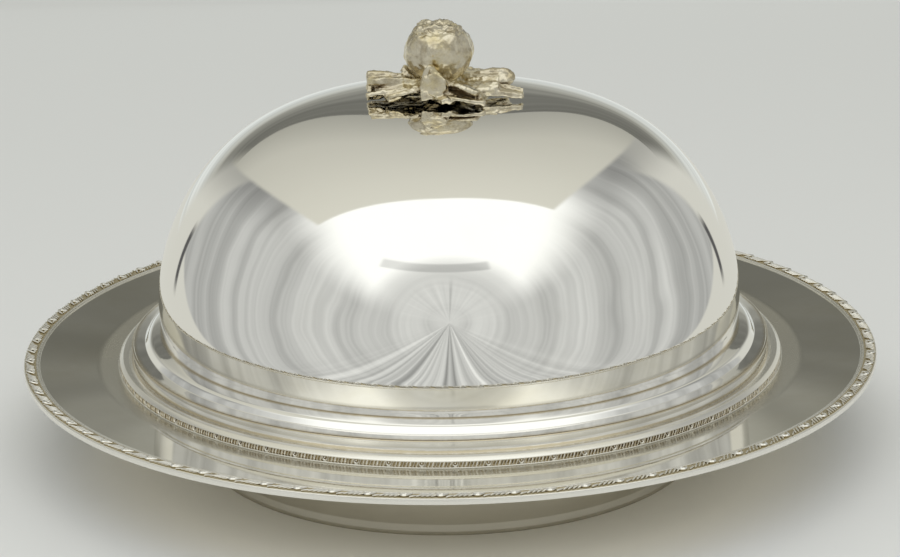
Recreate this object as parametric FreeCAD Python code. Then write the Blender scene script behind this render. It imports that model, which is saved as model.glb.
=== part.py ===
import FreeCAD, Part
import math
import os

# Covered serving dish: a broad-brimmed round dish on a low foot, under a domed cover with a cast fruit and leaves
# on top. Millimetres, +Z up. The origin is the middle of the circle on which the foot stands.

# Driving dimensions of the dish
rim_diameter = 300.0
seat_height = 35.0
sheet_wall = 1.2
brim_width = 31.8
brim_rise = 3.4
brim_bend_radius = 12.0
seat_width = 6.0
mouth_edge_radius = 1.5
mouth_collar_depth = 5.0
well_depth = 21.0
well_wall_run = 19.2
well_corner_radius = 9.0

# Foot ring under the well
foot_inset = 4.8
foot_wall = 1.6
foot_flange_width = 3.2
foot_bead_radius = 1.1

# Ornamental border over the brim's edge
rim_border_width = 5.6
rim_border_height = 0.9
rim_lip_wall = 1.4
rim_lip_height = 2.5
rim_fillet_width = 0.7
rim_fillet_height = 0.45
rim_edge_round = 0.45

# Cover: locating band, shoulder and dome
band_fit = 0.4
band_drop = 3.0
band_height = 7.3
band_bead_radius = 0.55
cove_width = 4.2
cove_rise = 0.5
roll_width = 4.0
roll_rise = 3.6
roll_round = 6.0
crevice_width = 4.6
crevice_rise = 2.1
dome_swell = 3.2
dome_bulge_height = 23.0
dome_height = 91.3
dome_side_power = 3.13
dome_crown_power = 1.67
crown_flat_radius = 7.0

# Ornamental border round the cover's band
cover_border_width = 5.6
cover_border_height = 3.4
cover_border_round = 1.1
cover_fillet_width = 0.5
cover_fillet_height = 0.45

# Cast leaves under the fruit
leaf_plate_radius = 9.0
leaf_plate_height = 5.4
leaf_plate_thickness = 3.4
leaf_stem_radius = 4.6
leaf_foot_radius = 6.4
leaf_thickness = 1.5
leaf_reach = 27.5

# Cast fruit
fruit_radius = 12.2
fruit_height = 18.2
fruit_shift = -2.0
fruit_ribs = 12
fruit_rib_depth = 0.02
fruit_base_share = 0.78
crown_radius = 6.2
crown_depth = 2.4
sepal_count = 6
sepal_height = 2.0
sepal_extra = 1.4

# Fastening inside the cover
stud_radius = 2.0
stud_clearance = 0.1
stud_grip = 9.0
stud_tail = 6.5
washer_radius = 6.0
washer_thickness = 0.8
nut_across_flats = 8.0
nut_thickness = 3.2

# Places worked out from the dimensions above
rim_radius = rim_diameter / 2.0
brim_edge_radius = rim_radius - rim_lip_wall
seat_outer_radius = rim_radius - brim_width
mouth_radius = seat_outer_radius - seat_width
well_floor_radius = mouth_radius - well_wall_run
foot_radius = well_floor_radius - foot_inset
band_radius = mouth_radius - band_fit
cove_radius = band_radius - cove_width
roll_radius = cove_radius - roll_width
dome_base_radius = roll_radius - crevice_width
dome_bulge_radius = dome_base_radius + dome_swell
border_inner_radius = rim_radius - rim_border_width
dome_top = seat_height + dome_height
leaf_top = dome_top + leaf_plate_height
stud_hole_radius = stud_radius + stud_clearance


def unit(start, end):
    length = math.hypot(end[0] - start[0], end[1] - start[1])
    return ((end[0] - start[0]) / length, (end[1] - start[1]) / length)


def point(place):
    return FreeCAD.Vector(place[0], 0, place[1])


def line(start, end):
    return Part.LineSegment(point(start), point(end)).toShape()


def corner_arc(before, corner, after, radius):
    """The tangent points of a rounded corner, and the point halfway along its arc."""
    inward = unit(corner, before)
    outward = unit(corner, after)
    opening = math.acos(max(-1.0, min(1.0, inward[0] * outward[0] + inward[1] * outward[1])))
    reach = radius / math.tan(opening / 2)
    start = (corner[0] + inward[0] * reach, corner[1] + inward[1] * reach)
    end = (corner[0] + outward[0] * reach, corner[1] + outward[1] * reach)
    middle = unit((0, 0), (inward[0] + outward[0], inward[1] + outward[1]))
    depth = radius / math.sin(opening / 2) - radius
    return start, (corner[0] + middle[0] * depth, corner[1] + middle[1] * depth), end


def rounded_path(corners, closed=False):
    """Edges through the corners (r, z, rounding), each corner rounded by its own tangent arc."""
    count = len(corners)
    stops = []
    for index, corner in enumerate(corners):
        rounding = corner[2] if len(corner) > 2 else 0
        if rounding and (closed or 0 < index < count - 1):
            stops.append(corner_arc(corners[index - 1], corner, corners[(index + 1) % count], rounding))
        else:
            stops.append((corner, None, corner))
    edges = []
    for index, (start, middle, end) in enumerate(stops):
        if middle:
            edges.append(Part.Arc(point(start), point(middle), point(end)).toShape())
        if closed or index < count - 1:
            following = stops[(index + 1) % count][0]
            if math.hypot(following[0] - end[0], following[1] - end[1]) > 1e-6:
                edges.append(line(end, following))
    return edges


def offset_path(corners, wall):
    """The same path moved to its right by the wall, with roundings that keep the wall even."""
    moved = []
    for start, end in zip(corners, corners[1:]):
        along = unit(start, end)
        shift = (along[1] * wall, -along[0] * wall)
        moved.append(((start[0] + shift[0], start[1] + shift[1]), (end[0] + shift[0], end[1] + shift[1]), along))
    result = [moved[0][0]]
    for (first, first_end, along), (second, second_end, onward), corner in zip(moved, moved[1:], corners[1:]):
        cross = along[0] * onward[1] - along[1] * onward[0]
        travel = ((second[0] - first[0]) * onward[1] - (second[1] - first[1]) * onward[0]) / cross
        rounding = corner[2] if len(corner) > 2 else 0
        rounding = max(rounding + (wall if cross > 0 else -wall), 0) if rounding else 0
        result.append((first[0] + along[0] * travel, first[1] + along[1] * travel, rounding))
    result.append(moved[-1][1])
    return result


def turn(edges):
    """A closed section in the XZ plane turned once round the axis."""
    wire = Part.Wire(Part.__sortEdges__(edges))
    return Part.Face(wire).revolve(FreeCAD.Vector(), FreeCAD.Vector(0, 0, 1), 360)


def turned_section(corners):
    return turn(rounded_path(corners, closed=True))


def brim_height(radius):
    """Height of the brim's upper surface, which rises evenly beyond the cover's seat."""
    share = (radius - seat_outer_radius) / (brim_edge_radius - seat_outer_radius)
    return seat_height + brim_rise * share


def make_dish_body():
    floor = seat_height - well_depth
    upper = [
        (0, floor),
        (well_floor_radius, floor, well_corner_radius),
        (mouth_radius, seat_height - mouth_collar_depth, well_corner_radius / 2),
        (mouth_radius, seat_height, mouth_edge_radius),
        (seat_outer_radius, seat_height, brim_bend_radius),
        (brim_edge_radius, brim_height(brim_edge_radius)),
    ]
    lower = offset_path(upper, sheet_wall)
    slope = unit(upper[-2], upper[-1])
    drop = (lower[-1][0] - brim_edge_radius) / slope[0]
    lower[-1] = (brim_edge_radius, lower[-1][1] - slope[1] * drop)
    edges = rounded_path(upper) + rounded_path(lower)
    edges += [line(upper[0], lower[0]), line(upper[-1], lower[-1])]
    return turn(edges)


def make_foot_ring():
    top = seat_height - well_depth - sheet_wall
    inner = foot_radius - foot_wall
    bead = foot_radius + foot_bead_radius / 2
    return turned_section([
        (inner, 0, 0.4),
        (bead, 0, 0.4),
        (bead, 2 * foot_bead_radius, 0.4),
        (foot_radius, 2 * foot_bead_radius + 0.5, 0.3),
        (foot_radius, top),
        (foot_radius - foot_flange_width, top),
        (foot_radius - foot_flange_width, top - foot_wall / 2),
        (inner, top - foot_wall / 2, 0.5),
    ])


def rim_border_section():
    """Two inner fillets, the bed of the ornament and the lip that hides the brim's edge."""
    first = border_inner_radius
    second = first + rim_fillet_width
    bed = second + rim_fillet_width
    crest = brim_height(brim_edge_radius) + rim_border_height
    lip_bottom = brim_height(brim_edge_radius) + rim_edge_round - rim_lip_height
    groove = rim_fillet_height / 3
    return [
        (first, brim_height(first)),
        (first, brim_height(first) + rim_fillet_height * 0.6),
        (first + 0.15, brim_height(first) + rim_fillet_height),
        (second - 0.15, brim_height(second) + rim_fillet_height),
        (second, brim_height(second) + rim_fillet_height * 0.6),
        (second, brim_height(second) + groove),
        (second + 0.1, brim_height(second) + groove),
        (second + 0.1, brim_height(second) + rim_fillet_height),
        (second + 0.3, brim_height(second) + rim_fillet_height * 1.4),
        (bed - 0.15, brim_height(bed) + rim_fillet_height * 1.4),
        (bed, brim_height(bed) + rim_fillet_height),
        (bed, brim_height(bed) + groove),
        (bed + 0.15, brim_height(bed) + groove),
        (bed + 0.3, crest),
        (rim_radius - rim_edge_round, crest, rim_edge_round),
        (rim_radius, crest - 2 * rim_edge_round, rim_edge_round),
        (rim_radius, lip_bottom, 0.4),
        (brim_edge_radius, lip_bottom),
        (brim_edge_radius, brim_height(brim_edge_radius)),
    ]


def make_rim_border():
    return turned_section(rim_border_section())


def dome_outline(inset):
    """Points from the dome's base to its flat crown, moved inwards by the inset square to the surface."""
    base = seat_height + band_height + cove_rise + crevice_rise
    bulge = seat_height + dome_bulge_height
    points = []
    lower_steps = 4
    for step in range(lower_steps):
        share = 1 - step / lower_steps
        lean = 2 * dome_swell * share / (bulge - base)
        size = math.hypot(1, lean)
        radius = dome_bulge_radius - dome_swell * share ** 2
        height = bulge - (bulge - base) * share
        points.append((radius - inset / size, height + inset * lean / size))
    reach = dome_bulge_radius - crown_flat_radius
    rise = dome_top - bulge
    upper_steps = 14
    for step in range(upper_steps + 1):
        angle = math.pi / 2 * step / upper_steps
        across = max(math.cos(angle), 0) ** (2 / dome_side_power)
        upward = math.sin(angle) ** (2 / dome_crown_power)
        normal = unit((0, 0), (
            dome_side_power * across ** (dome_side_power - 1) / reach,
            dome_crown_power * upward ** (dome_crown_power - 1) / rise,
        ))
        points.append((
            crown_flat_radius + reach * across - inset * normal[0],
            bulge + rise * upward - inset * normal[1],
        ))
    return points


def smooth_edge(points):
    curve = Part.BSplineCurve()
    curve.interpolate([point(place) for place in points])
    return curve.toShape()


def make_cover_dome():
    cove_height = seat_height + band_height + cove_rise
    outer_dome = dome_outline(0)
    inner_dome = dome_outline(sheet_wall)[1:]
    shoulder = [
        (band_radius, seat_height - band_drop),
        (band_radius, seat_height + band_height, 0.4),
        (cove_radius, cove_height, 1.2),
        (roll_radius, cove_height + roll_rise, roll_round),
        outer_dome[0],
        outer_dome[1],
    ]
    lining = offset_path(shoulder, -sheet_wall)
    lining[-1] = inner_dome[0]
    crown = (stud_hole_radius, dome_top)
    crown_inside = (stud_hole_radius, dome_top - sheet_wall)
    bead_top = seat_height + band_height
    bead = [
        (band_radius, bead_top - 2 * band_bead_radius),
        (band_radius + band_bead_radius, bead_top - 1.5 * band_bead_radius),
        (band_radius + band_bead_radius, bead_top - 0.5 * band_bead_radius),
        (band_radius, bead_top),
    ]
    skin = shoulder[:1] + bead + shoulder[2:-1]
    edges = rounded_path(skin) + [smooth_edge(outer_dome), line(outer_dome[-1], crown)]
    edges += rounded_path(lining) + [smooth_edge(inner_dome), line(inner_dome[-1], crown_inside)]
    edges += [line(crown, crown_inside), line(shoulder[0], lining[0])]
    return turn(edges)


def make_cover_border():
    outer = band_radius + cover_border_width
    face = outer - cover_fillet_width
    return turned_section([
        (band_radius, seat_height),
        (outer, seat_height),
        (outer, seat_height + cover_fillet_height),
        (face, seat_height + cover_fillet_height + 0.1),
        (face, seat_height + cover_border_height, cover_border_round),
        (band_radius, seat_height + cover_border_height - 0.3),
    ])


def leaf_section(place, along, width, cup):
    """One cross-section of a leaf: a strip cupped across its width, square to the leaf's run."""
    side = FreeCAD.Vector(-math.sin(along[0]), math.cos(along[0]), 0)
    run = FreeCAD.Vector(
        math.cos(along[0]) * math.cos(along[1]), math.sin(along[0]) * math.cos(along[1]), math.sin(along[1]))
    up = run.cross(side)
    half = width / 2
    edge = leaf_thickness / 3

    def at(across, upward):
        return place + side * across + up * upward

    top = Part.Arc(at(-half, cup + edge), at(0, leaf_thickness / 2), at(half, cup + edge)).toShape()
    bottom = Part.Arc(at(-half, cup - edge), at(0, -leaf_thickness / 2), at(half, cup - edge)).toShape()
    left = Part.LineSegment(at(-half, cup - edge), at(-half, cup + edge)).toShape()
    right = Part.LineSegment(at(half, cup + edge), at(half, cup - edge)).toShape()
    return Part.Wire([top, right, bottom, left])


# Each leaf: plan angle, then its stations from root to tip, as (distance out, height over the dome, width, cup),
# all in hundredths of the reach
leaves = [
    (163, [(15, 12, 22, 2), (44, 12, 29, 3), (73, 22, 40, 6), (98, 25, 37, 5)]),
    (206, [(15, 12, 22, 2), (44, 12, 29, 3), (73, 9, 40, 4), (100, 7, 35, 3)]),
    (248, [(15, 12, 18, 2), (42, 13, 14, 2), (54, 30, 25, 3), (54, 52, 11, 1)]),
    (269, [(15, 12, 16, 2), (40, 11, 14, 2), (62, 14, 26, 4), (68, 36, 20, 3)]),
    (302, [(15, 12, 20, 2), (42, 12, 22, 3), (58, 9, 31, 4), (77, 8, 29, 2)]),
    (332, [(15, 12, 20, 2), (44, 12, 22, 3), (73, 9, 29, 4), (100, 7, 25, 2)]),
    (6, [(15, 12, 22, 2), (44, 12, 25, 4), (73, 21, 33, 5), (93, 25, 22, 4)]),
    (55, [(15, 12, 22, 2), (44, 12, 29, 4), (65, 14, 33, 4), (87, 12, 25, 3)]),
    (115, [(15, 12, 22, 2), (44, 12, 29, 4), (65, 16, 33, 4), (84, 16, 22, 3)]),
]


def make_leaf(angle, stations):
    turn_angle = math.radians(angle)
    sections = []
    for index, station in enumerate(stations):
        out, height, width, cup = [share * leaf_reach / 100 for share in station]
        before = stations[max(index - 1, 0)]
        after = stations[min(index + 1, len(stations) - 1)]
        climb = math.atan2(after[1] - before[1], after[0] - before[0])
        place = FreeCAD.Vector(out * math.cos(turn_angle), out * math.sin(turn_angle), dome_top + height)
        sections.append(leaf_section(place, (turn_angle, climb), width, cup))
    return Part.makeLoft(sections, True, False)


def make_finial_leaves():
    boss = turned_section([
        (stud_hole_radius, dome_top),
        (leaf_foot_radius, dome_top),
        (leaf_stem_radius, dome_top + 1.2),
        (leaf_plate_radius, leaf_top - leaf_plate_thickness),
        (leaf_plate_radius, leaf_top),
        (stud_hole_radius, leaf_top),
    ])
    bore = Part.makeCylinder(stud_hole_radius, leaf_plate_height, FreeCAD.Vector(0, 0, dome_top))
    return boss.fuse([make_leaf(angle, stations) for angle, stations in leaves]).cut(bore)


def fruit_ring(height_share, radius):
    """One ribbed, slightly uneven ring of the fruit."""
    places = []
    count = 4 * fruit_ribs
    for step in range(count):
        angle = 2 * math.pi * step / count
        ribbed = 1 + fruit_rib_depth * math.cos(fruit_ribs * angle) + 0.02 * math.cos(3 * angle + 0.6)
        places.append(FreeCAD.Vector(
            fruit_shift + radius * ribbed * math.cos(angle),
            radius * ribbed * math.sin(angle),
            leaf_top + fruit_height * height_share,
        ))
    curve = Part.BSplineCurve()
    curve.interpolate(Points=places, PeriodicFlag=True)
    return Part.Wire(curve.toShape())


def make_sepal(index):
    """One petal of the open crown, taller towards the front left."""
    angle = 2 * math.pi * index / sepal_count + 0.5
    height = sepal_height + sepal_extra * math.cos(angle - math.radians(215))
    base = leaf_top + fruit_height * 0.93
    half = math.pi / sepal_count * 0.8

    def at(radius, turned, rise):
        return FreeCAD.Vector(fruit_shift + radius * math.cos(turned), radius * math.sin(turned), base + rise)

    rings = []
    for share, reach, spread in ((0, 0, 1.0), (0.6, 0.3, 0.8), (1.0, 1.1, 0.35)):
        inner = crown_radius - 1.4 + reach
        outer = crown_radius + reach - 0.8 * share
        rise = (height + fruit_height * 0.05) * share
        corners = [at(inner, angle - half * spread, rise), at(outer, angle - half * spread, rise),
                   at(outer, angle + half * spread, rise), at(inner, angle + half * spread, rise)]
        rings.append(Part.makePolygon(corners + corners[:1]))
    return Part.makeLoft(rings, True, True)


def make_finial_fruit():
    rings = []
    for share, girth in ((0, fruit_base_share), (0.12, 0.9), (0.32, 0.985), (0.55, 1.0), (0.75, 0.93), (0.9, 0.76),
                         (1.0, 0.5)):
        rings.append(fruit_ring(share, fruit_radius * girth))
    body = Part.makeLoft(rings, True, False)
    crater = Part.makeCone(
        crown_radius * 0.5, crown_radius * 0.8, crown_depth,
        FreeCAD.Vector(fruit_shift, 0, leaf_top + fruit_height - crown_depth + 0.01))
    body = body.fuse([make_sepal(index) for index in range(sepal_count)]).cut(crater)
    bore = Part.makeCylinder(stud_hole_radius, stud_grip, FreeCAD.Vector(0, 0, leaf_top))
    return body.cut(bore)


def make_finial_stud():
    bottom = dome_top - stud_tail
    return Part.makeCylinder(stud_radius, leaf_top + stud_grip - bottom, FreeCAD.Vector(0, 0, bottom))


def make_finial_washer():
    top = dome_top - sheet_wall
    return turned_section([
        (stud_hole_radius, top),
        (washer_radius, top, 0.2),
        (washer_radius, top - washer_thickness, 0.2),
        (stud_hole_radius, top - washer_thickness),
    ])


def make_finial_nut():
    top = dome_top - sheet_wall - washer_thickness
    corner = nut_across_flats / 2 / math.cos(math.pi / 6)
    corners = [
        FreeCAD.Vector(corner * math.cos(math.pi * side / 3), corner * math.sin(math.pi * side / 3), top)
        for side in range(7)
    ]
    block = Part.Face(Part.makePolygon(corners)).extrude(FreeCAD.Vector(0, 0, -nut_thickness))
    chamfer = Part.makeCone(
        corner + 0.2, nut_across_flats / 2 - 0.3, nut_thickness, FreeCAD.Vector(0, 0, top),
        FreeCAD.Vector(0, 0, -1))
    bore = Part.makeCylinder(stud_hole_radius, nut_thickness, FreeCAD.Vector(0, 0, top - nut_thickness))
    return block.common(chamfer).cut(bore)


makers = {
    "dish_body": make_dish_body,
    "foot_ring": make_foot_ring,
    "rim_border": make_rim_border,
    "cover_dome": make_cover_dome,
    "cover_border": make_cover_border,
    "finial_leaves": make_finial_leaves,
    "finial_fruit": make_finial_fruit,
    "finial_stud": make_finial_stud,
    "finial_washer": make_finial_washer,
    "finial_nut": make_finial_nut,
}

os.makedirs("parts", exist_ok=True)
for name, make in makers.items():
    shape = make()
    print(name, "valid", shape.isValid(), "solids", len(shape.Solids), "volume", round(shape.Volume, 1))
    shape.exportStep("parts/" + name + ".step")
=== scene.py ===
import math

import bpy
from bpy.props import FloatProperty, FloatVectorProperty, IntProperty
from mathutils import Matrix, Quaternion, Vector


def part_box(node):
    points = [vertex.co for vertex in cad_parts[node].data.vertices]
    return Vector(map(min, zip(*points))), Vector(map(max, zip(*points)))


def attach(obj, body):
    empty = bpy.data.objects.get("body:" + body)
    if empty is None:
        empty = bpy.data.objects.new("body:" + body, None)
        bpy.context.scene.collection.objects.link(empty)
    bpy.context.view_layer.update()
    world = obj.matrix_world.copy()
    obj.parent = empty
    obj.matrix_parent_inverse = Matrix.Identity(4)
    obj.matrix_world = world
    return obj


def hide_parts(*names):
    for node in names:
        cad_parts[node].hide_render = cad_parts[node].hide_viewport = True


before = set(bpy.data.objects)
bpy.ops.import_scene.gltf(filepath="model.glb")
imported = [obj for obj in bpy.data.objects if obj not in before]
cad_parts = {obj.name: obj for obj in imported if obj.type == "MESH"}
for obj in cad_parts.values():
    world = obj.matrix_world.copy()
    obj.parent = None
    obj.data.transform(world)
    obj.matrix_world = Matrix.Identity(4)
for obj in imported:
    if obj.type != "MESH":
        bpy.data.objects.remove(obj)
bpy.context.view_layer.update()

bl_info = {
    "name": "Covered serving dish",
    "version": (1, 0, 0),
    "blender": (4, 5, 0),
    "location": "View3D > Sidebar > Serving dish",
    "description": "Models a silver serving dish with its domed cover, and sets its studio",
    "category": "Object",
}

MM = 0.001
DEGREE = math.pi / 180
FRONT = -90 * DEGREE
LENS_TILT = 19.06 * DEGREE

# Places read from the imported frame
border_low, border_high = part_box("cover_border")
dome_low, dome_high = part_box("cover_dome")
foot_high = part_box("foot_ring")[1]
rim_radius = round(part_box("rim_border")[1].y, 4)
seat_height = round(border_low.z, 5)
dome_top = round(dome_high.z, 5)
foot_top = round(foot_high.z, 5)

# Radii that follow: the sheet's edge in the rim, the start of the rim's border, the face under the reeds
brim_inset = 1.4 * MM
brim_edge = rim_radius - brim_inset
border_start = rim_radius - 5.6 * MM
reed_face = border_high.x - 1.0 * MM


class DishSizes(bpy.types.PropertyGroup):
    """Sizes of the dish that a maker would change."""

    sheet_wall: FloatProperty(
        name="Sheet wall", description="Thickness of the spun sheet",
        default=1.2 * MM, unit="LENGTH")
    brim_rise: FloatProperty(
        name="Brim rise", description="How far the brim rises from the seat to the rim",
        default=3.4 * MM, unit="LENGTH")
    brim_width: FloatProperty(
        name="Brim width", description="From the cover's seat to the rim",
        default=31.8 * MM, unit="LENGTH")
    seat_width: FloatProperty(
        name="Seat width", description="Level ring that carries the cover",
        default=6.0 * MM, unit="LENGTH")
    well_depth: FloatProperty(
        name="Well depth", description="From the seat down to the well's floor",
        default=21.0 * MM, unit="LENGTH")
    well_wall_run: FloatProperty(
        name="Well wall run", description="Slope of the well's wall, measured level",
        default=19.2 * MM, unit="LENGTH")
    band_fit: FloatProperty(
        name="Band fit", description="Clearance between the cover's band and the dish",
        default=0.4 * MM, unit="LENGTH")
    rim_units: IntProperty(
        name="Rim scrolls", description="Scrolls round the rim", default=84, min=3)
    reed_units: IntProperty(
        name="Reed bundles", description="Bundles of reeds round the cover", default=70, min=3)
    turn_steps: IntProperty(
        name="Turning steps", description="Steps of each spun piece", default=252, min=32)


class DishColours(bpy.types.PropertyGroup):
    """Colours of the metal and the paper."""

    silver: FloatVectorProperty(
        name="Silver", description="Polished silver plate",
        subtype="COLOR", default=(0.93, 0.92, 0.895))
    cast_silver: FloatVectorProperty(
        name="Cast silver", description="Cast and chased silver",
        subtype="COLOR", default=(0.72, 0.66, 0.52))
    tarnish: FloatVectorProperty(
        name="Tarnish", description="Yellow-brown film between the reeds",
        subtype="COLOR", default=(0.42, 0.33, 0.17))
    brass: FloatVectorProperty(
        name="Brass", description="Turned brass of the fastening",
        subtype="COLOR", default=(0.78, 0.6, 0.3))
    floor: FloatVectorProperty(
        name="Floor", description="Pale paper round the dish",
        subtype="COLOR", default=(0.65, 0.657, 0.655))


def sizes():
    return bpy.context.scene.dish_sizes


def colours():
    return bpy.context.scene.dish_colours


# Shader building


def feed(tree, socket, content):
    """Links the socket to a worked-out value, or sets it to a plain number or colour."""
    if isinstance(content, Value):
        tree.links.new(content.socket, socket)
    elif socket.type == "RGBA":
        socket.default_value = (*content, 1.0)
    else:
        socket.default_value = content


class Value:
    """A shader socket that is reckoned with like a number."""

    def __init__(self, tree, socket):
        self.tree = tree
        self.socket = socket

    def worked(self, operation, *contents):
        node = self.tree.nodes.new("ShaderNodeMath")
        node.operation = operation
        for socket, content in zip(node.inputs, contents):
            feed(self.tree, socket, content)
        return Value(self.tree, node.outputs[0])

    def math(self, operation, *others):
        return self.worked(operation, self, *others)

    def __add__(self, other):
        return self.math("ADD", other)

    def __radd__(self, number):
        return self.math("ADD", number)

    def __sub__(self, other):
        return self.math("SUBTRACT", other)

    def __rsub__(self, number):
        return self.worked("SUBTRACT", number, self)

    def __mul__(self, other):
        return self.math("MULTIPLY", other)

    def __rmul__(self, number):
        return self.math("MULTIPLY", number)

    def __truediv__(self, other):
        return self.math("DIVIDE", other)

    def __rtruediv__(self, number):
        return self.worked("DIVIDE", number, self)

    def __pow__(self, other):
        return self.math("POWER", other)

    def __rpow__(self, number):
        return self.worked("POWER", number, self)

    def __abs__(self):
        return self.math("ABSOLUTE")


class Nodes:
    """Adds nodes to the tree of one material or world."""

    def __init__(self, owner):
        owner.use_nodes = True
        self.tree = owner.node_tree
        self.tree.nodes.clear()

    def add(self, kind, settings=None, inputs=None, output=0):
        """A new node's output. Sockets go by name, or by number where a name stands twice."""
        node = self.tree.nodes.new(kind)
        for name, setting in (settings or {}).items():
            setattr(node, name, setting)
        for name, content in (inputs or {}).items():
            feed(self.tree, node.inputs[name], content)
        return Value(self.tree, node.outputs[output]) if len(node.outputs) else None

    def step(self, value, low, high):
        """0 below low, 1 above high, eased between them. Works downwards too, where low is the greater."""
        return self.add("ShaderNodeMapRange", {"interpolation_type": "SMOOTHSTEP"}, {
            "Value": value, "From Min": low, "From Max": high})

    def patch(self, value, centre, edge, full):
        """1 within full of the centre, eased to 0 at the edge."""
        return self.step(abs(value - centre), edge, full)

    def curve(self, value, places):
        """Straight runs between the places (value, result)."""
        total = places[0][1]
        for (low, before), (high, after) in zip(places, places[1:]):
            if after != before:
                run = self.add("ShaderNodeMapRange", None, {
                    "Value": value, "From Min": low, "From Max": high, "To Max": after - before})
                total = run + total
        return total

    def mix(self, share, first, second):
        """The first colour where the share is 0, the second where it is 1."""
        return self.add("ShaderNodeMix", {"data_type": "RGBA"}, {0: share, 6: first, 7: second}, 2)

    def noise(self, place, scale, detail=2.0, roughness=0.5):
        """Uneven clouds."""
        return self.add("ShaderNodeTexNoise", None, {
            "Vector": place, "Scale": scale, "Detail": detail, "Roughness": roughness})

    def stripes(self, along, scale, detail=2.0, roughness=0.5):
        """Uneven bands along one measure."""
        return self.add("ShaderNodeTexNoise", {"noise_dimensions": "1D"}, {
            "W": along, "Scale": scale, "Detail": detail, "Roughness": roughness})

    def split(self, place):
        """The three measures of a place."""
        outputs = self.add("ShaderNodeSeparateXYZ", None, {"Vector": place}).socket.node.outputs
        return [Value(self.tree, socket) for socket in outputs]


def blend(share, first, second):
    """The first value where the share is 0, the second where it is 1."""
    return first * (1 - share) + second * share


def from_axis(x, y):
    return (x * x + y * y) ** 0.5


def material(name):
    """A new material, its nodes and each point's place on the piece."""
    made = bpy.data.materials.new(name)
    nodes = Nodes(made)
    return made, nodes, nodes.add("ShaderNodeTexCoord", output="Object")


def metal(nodes, base, roughness, bump, bump_distance, bump_strength):
    """Ends a material as a metal with a fine relief."""
    relief = nodes.add("ShaderNodeBump", None, {
        "Strength": bump_strength, "Distance": bump_distance, "Height": bump})
    surface = nodes.add("ShaderNodeBsdfPrincipled", None, {
        "Metallic": 1.0, "Base Color": base, "Roughness": roughness, "Normal": relief})
    nodes.add("ShaderNodeOutputMaterial", None, {"Surface": surface})


def cover_silver(crevices):
    """Mirror polish, with a tan line of old polish in each crevice (height, half width)."""
    filmed = (0.88, 0.865, 0.82)
    old_polish = (0.46, 0.37, 0.19)
    made, nodes, place = material("cover silver plate")
    height = nodes.split(place)[2]
    film = nodes.step(nodes.noise(place, scale=28.0, detail=4.0, roughness=0.6), 0.45, 0.8)
    specks = nodes.noise(place, scale=420.0, detail=3.0, roughness=0.6)
    dirt = 0.0
    for middle, half in crevices:
        dirt = nodes.step(abs(height - middle) - specks * half * 0.8, half, 0.0) + dirt
    dirt = dirt.math("MINIMUM", 1.0)
    polished = nodes.mix(film * 0.35, tuple(colours().silver), filmed)
    base = nodes.mix(dirt * 0.65, polished, old_polish)
    turning_lines = nodes.stripes(height, scale=900.0, detail=3.0, roughness=0.6)
    metal(nodes, base, film * 0.03 + dirt * 0.15 + 0.035, turning_lines, 0.02 * MM, 0.06)
    return made


def brim_silver():
    """The dish's sheet: a clear mirror on the brim, darker, greyer and duller near the cover."""
    bright = (0.88, 0.86, 0.79)
    filmed = (0.80, 0.77, 0.67)
    grey_near_cover = (0.60, 0.575, 0.50)
    bright_from = 125.5 * MM
    grey_within = 122.5 * MM
    made, nodes, place = material("brim silver plate")
    x, y = nodes.split(place)[:2]
    radius = from_axis(x, y)
    film = nodes.step(nodes.noise(place, scale=22.0, detail=5.0, roughness=0.6), 0.35, 0.75)
    # Near the cover the brim is made darker, greyer and rougher
    near_cover_share = nodes.step(radius, bright_from, grey_within)
    base = nodes.mix(near_cover_share * 0.8, nodes.mix(film, bright, filmed), grey_near_cover)
    turning_lines = nodes.stripes(radius, scale=1400.0, detail=3.0, roughness=0.6)
    metal(nodes, base, film * 0.03 + near_cover_share * 0.22 + 0.03, turning_lines, 0.02 * MM, 0.08)
    return made


def foot_silver():
    """The foot: dull and clouded, and dark grey-brown, a painted shade that stands for the shaded paper it
    mirrors under the brim.
    """
    # Both colours are darkened as painted shade: the foot mirrors the shaded paper under the brim
    dark = (0.47, 0.44, 0.36)
    pale = (0.56, 0.525, 0.44)
    made, nodes, place = material("foot silver with painted shade")
    clouds = nodes.noise(place, scale=60.0, detail=4.0, roughness=0.6)
    metal(nodes, nodes.mix(clouds, dark, pale), clouds * 0.12 + 0.38, clouds, 0.1 * MM, 0.1)
    return made


def border_silver(name, measure, tarnished_at, clean_at, tarnish):
    """Silver of a border: tarnished where the measured height is low, bright from clean_at upwards."""
    raised = (0.88, 0.86, 0.80)
    made, nodes, place = material(name)
    height = measure(nodes, *nodes.split(place))
    haze = nodes.noise(place, scale=320.0, detail=3.0, roughness=0.6)
    hollow = nodes.step(height, clean_at, tarnished_at) * (haze * 0.7 + 0.55)
    metal(nodes, nodes.mix(hollow, raised, tarnish), hollow * 0.2 + 0.22, haze, 0.1 * MM, 0.15)
    return made


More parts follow.
